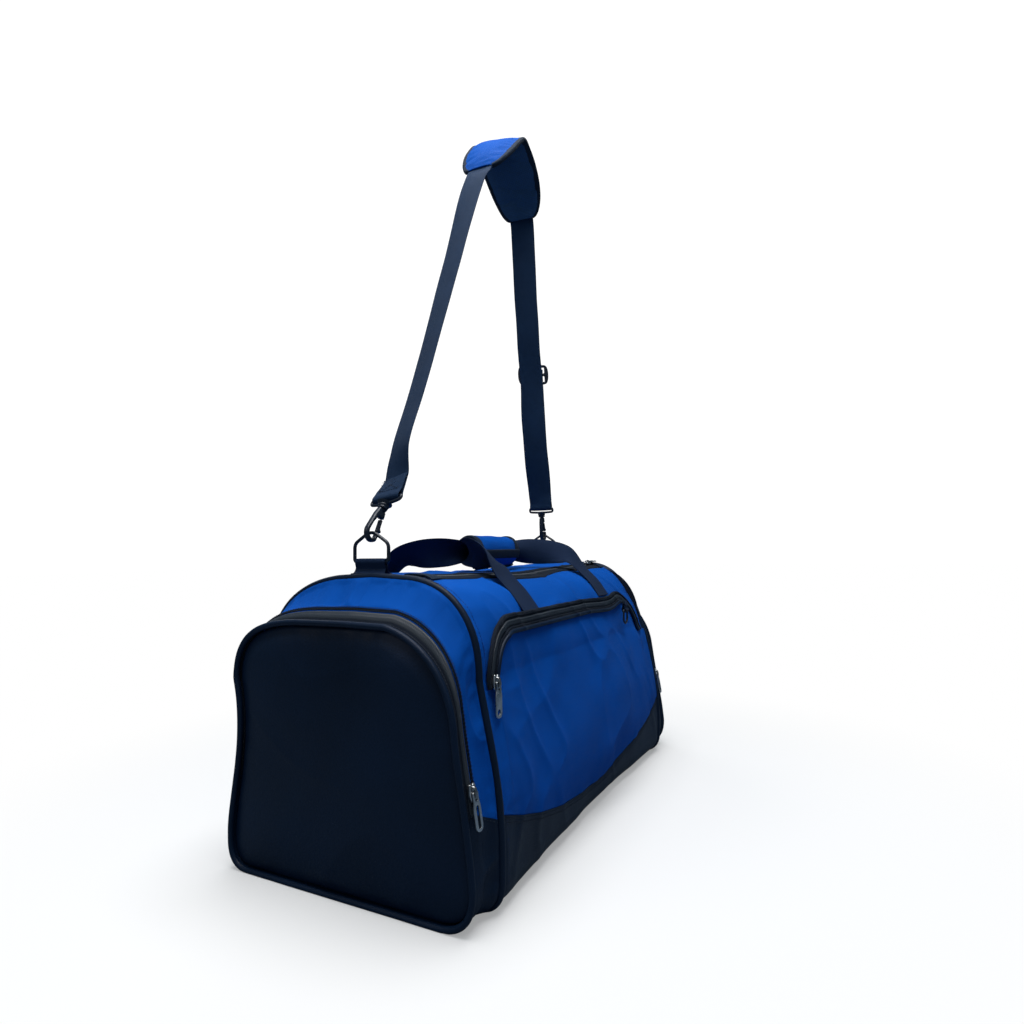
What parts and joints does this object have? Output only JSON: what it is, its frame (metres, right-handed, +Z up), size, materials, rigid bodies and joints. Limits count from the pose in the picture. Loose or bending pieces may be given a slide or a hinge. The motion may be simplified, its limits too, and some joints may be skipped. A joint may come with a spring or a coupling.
{
  "type": "duffel bag",
  "caption": "Sports duffel bag with a long zip pocket, zip end pockets, webbing handles with a grip wrap, and a padded clip-on shoulder strap.",
  "frame": {"origin": "middle of the base, on the ground", "axes": "+X along the bag, -Y the side with the long zip pocket, +Z up"},
  "size_m": [0.624, 0.308, 0.9633],
  "materials": {
    "blue_polyester": "woven 600-denier polyester, matt",
    "black_leatherette": "soft PU leatherette, fine grain, satin",
    "webbing": "ribbed polypropylene webbing, matt",
    "lining": "plain lining cloth",
    "board": "polyethylene stiffener",
    "zip_tape": "coil zip on woven tape",
    "foam_mesh": "foam padding under black knit",
    "black_plastic": "moulded acetal, satin",
    "zip_metal": "nickel-plated zinc, lightly worn"
  },
  "bodies": {
    "root": {"front_panel": "blue_polyester", "back_panel": "blue_polyester", "near_pocket_gusset": "blue_polyester", "far_pocket_gusset": "blue_polyester", "front_pocket_panel": "blue_polyester", "base_panel": "black_leatherette", "near_piping": "black_leatherette", "far_piping": "black_leatherette", "near_pocket_base": "black_leatherette", "far_pocket_base": "black_leatherette", "near_pocket_piping": "black_leatherette", "far_pocket_piping": "black_leatherette", "near_pocket_panel": "black_leatherette", "far_pocket_panel": "black_leatherette", "near_ring_tab": "webbing", "far_ring_tab": "webbing", "front_handle_webbing": "webbing", "back_handle_webbing": "webbing", "key_ring_tab": "webbing", "near_end_wall": "lining", "far_end_wall": "lining", "base_board": "board", "top_zip_tape_front": "zip_tape", "top_zip_tape_back": "zip_tape", "near_pocket_zip": "zip_tape", "far_pocket_zip": "zip_tape", "front_pocket_zip": "zip_tape"},
    "top_slider": {"top_slider": "zip_metal"},
    "top_pull": {"top_pull": "zip_metal"},
    "front_pocket_slider": {"front_pocket_slider": "zip_metal"},
    "front_pocket_pull": {"front_pocket_pull": "zip_metal"},
    "near_pocket_slider": {"near_pocket_slider": "zip_metal"},
    "near_pocket_pull": {"near_pocket_pull": "zip_metal"},
    "far_pocket_slider": {"far_pocket_slider": "zip_metal"},
    "far_pocket_pull": {"far_pocket_pull": "zip_metal"},
    "near_ring": {"near_ring": "black_plastic"},
    "far_ring": {"far_ring": "black_plastic"},
    "strap": {"strap_webbing": "webbing", "strap_return": "webbing", "shoulder_pad_cover": "blue_polyester", "shoulder_pad_cushion": "foam_mesh", "near_hook_loop": "black_plastic", "far_hook_loop": "black_plastic"},
    "near_hook": {"near_hook": "black_plastic"},
    "far_hook": {"far_hook": "black_plastic"},
    "near_gate": {"near_gate": "black_plastic"},
    "far_gate": {"far_gate": "black_plastic"},
    "adjuster": {"strap_adjuster": "black_plastic"},
    "handle": {"handle_wrap": "blue_polyester"},
    "wrap_flap": {"handle_wrap_flap": "blue_polyester"},
    "key_ring": {"key_ring": "black_plastic"}
  },
  "joints": [
    {"name": "top_slider_travel", "type": "slide", "parent": "root", "child": "top_slider", "axis": [-1, 0, 0], "range_m": [0, 0.44]},
    {"name": "top_pull_flip", "type": "hinge", "parent": "top_slider", "child": "top_pull", "pos_m": [0.222, -0.04531, 0.30459], "axis": [0, -0.9981, -0.0614], "range_deg": [0, 150]},
    {"name": "front_pocket_slider_travel", "type": "hinge", "parent": "root", "child": "front_pocket_slider", "pos_m": [-0.19027, -0.12051, 0.1944], "axis": [-0.1483, 0.9883, -0.0362], "range_deg": [0, 68]},
    {"name": "front_pocket_pull_flip", "type": "hinge", "parent": "front_pocket_slider", "child": "front_pocket_pull", "pos_m": [-0.24684, -0.13379, 0.20103], "axis": [-0.9884, 0.0306, 0.1489], "range_deg": [0, 150]},
    {"name": "near_pocket_slider_travel", "type": "slide", "parent": "root", "child": "near_pocket_slider", "axis": [0, 0.1552, 0.9879], "range_m": [0, 0.045]},
    {"name": "near_pocket_pull_flip", "type": "hinge", "parent": "near_pocket_slider", "child": "near_pocket_pull", "pos_m": [-0.2968, -0.13661, 0.11675], "axis": [-1, 0, 0], "range_deg": [0, 150]},
    {"name": "far_pocket_slider_travel", "type": "slide", "parent": "root", "child": "far_pocket_slider", "axis": [0, 0.1552, 0.9879], "range_m": [0, 0.045]},
    {"name": "far_pocket_pull_flip", "type": "hinge", "parent": "far_pocket_slider", "child": "far_pocket_pull", "pos_m": [0.2968, -0.13661, 0.11675], "axis": [-1, 0, 0], "range_deg": [0, 150]},
    {"name": "near_ring_sway", "type": "hinge", "parent": "root", "child": "near_ring", "pos_m": [-0.256, 0.01, 0.315], "axis": [0, 1, 0], "range_deg": [-1.2, 1.2]},
    {"name": "far_ring_sway", "type": "hinge", "parent": "root", "child": "far_ring", "pos_m": [0.244, 0.044, 0.319], "axis": [0, 1, 0], "range_deg": [-1.2, 1.2]},
    {"name": "strap_swing", "type": "hinge", "parent": "root", "child": "strap", "pos_m": [-0.256, 0.01, 0.346], "axis": [0.9977, 0.0678, 0.008], "range_deg": [-28, 28], "stiffness_Nm_per_rad": 4},
    {"name": "near_hook_swivel", "type": "hinge", "parent": "strap", "child": "near_hook", "pos_m": [-0.256, 0.01, 0.346], "axis": [0.6079, 0.0413, 0.7929], "range_deg": [-8, 8]},
    {"name": "far_hook_swivel", "type": "hinge", "parent": "strap", "child": "far_hook", "pos_m": [0.244, 0.044, 0.35], "axis": [-0.1639, -0.0111, 0.9864], "range_deg": [-8, 8]},
    {"name": "near_gate_press", "type": "hinge", "parent": "near_hook", "child": "near_gate", "pos_m": [-0.24054, 0.01105, 0.3578], "axis": [-0.0678, 0.9977, 0], "range_deg": [0, 22], "stiffness_Nm_per_rad": 0.02},
    {"name": "far_gate_press", "type": "hinge", "parent": "far_hook", "child": "far_gate", "pos_m": [0.24594, 0.04413, 0.36938], "axis": [-0.0678, 0.9977, 0], "range_deg": [0, 22], "stiffness_Nm_per_rad": 0.02},
    {"name": "adjuster_travel", "type": "slide", "parent": "strap", "child": "adjuster", "axis": [-0.1443, -0.0098, 0.9895], "range_m": [0, 0.1], "stiffness_N_per_m": 60, "deforming": ["strap_return"]},
    {"name": "handle_lift", "type": "slide", "parent": "root", "child": "handle", "axis": [0, 0, 1], "range_m": [0, 0.03], "deforming": ["front_handle_webbing", "back_handle_webbing"]},
    {"name": "wrap_flap_open", "type": "hinge", "parent": "handle", "child": "wrap_flap", "pos_m": [-0.018, -0.0182, 0.3216], "axis": [-1, 0, 0], "range_deg": [0, 110]},
    {"name": "key_ring_swing", "type": "hinge", "parent": "root", "child": "key_ring", "pos_m": [0.15, -0.13134, 0.234], "axis": [-1, 0, 0], "range_deg": [0, 75]}
  ]
}
